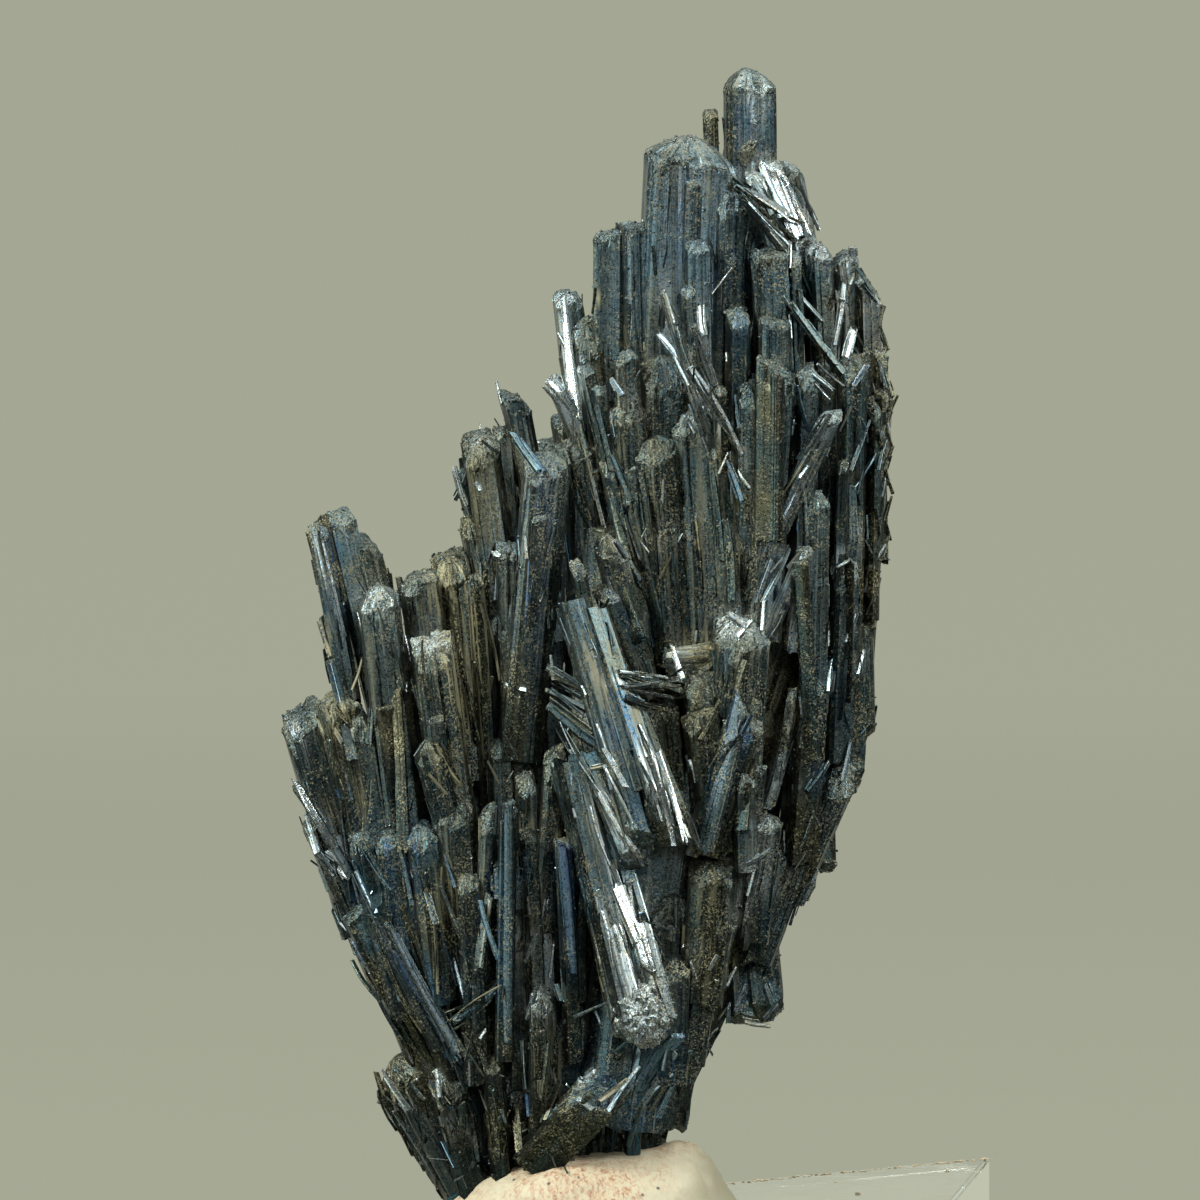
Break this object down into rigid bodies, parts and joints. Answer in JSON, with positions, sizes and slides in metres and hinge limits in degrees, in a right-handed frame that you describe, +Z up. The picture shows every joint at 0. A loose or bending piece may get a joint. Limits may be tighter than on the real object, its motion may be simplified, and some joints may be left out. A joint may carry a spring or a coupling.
{
  "type": "mineral specimen",
  "caption": "Upright fan of dark metallic stibnite crystals, long and flat-faced, held in a lump of putty on a clear acrylic slab.",
  "frame": {"origin": "on the acrylic slab's underside, below the middle of the putty", "axes": "+Z up through the specimen; the show side, which the picture sees, faces -Y; +X is to the right of that view"},
  "size_m": [0.0751, 0.085, 0.1264],
  "materials": {
    "stibnite": "metallic lustre, striated",
    "putty": "matt, hand pressed",
    "acrylic": "clear, polished"
  },
  "bodies": {
    "root": {"stibnite_cluster": "stibnite", "mounting_putty": "putty", "acrylic_base": "acrylic"}
  },
  "joints": []
}
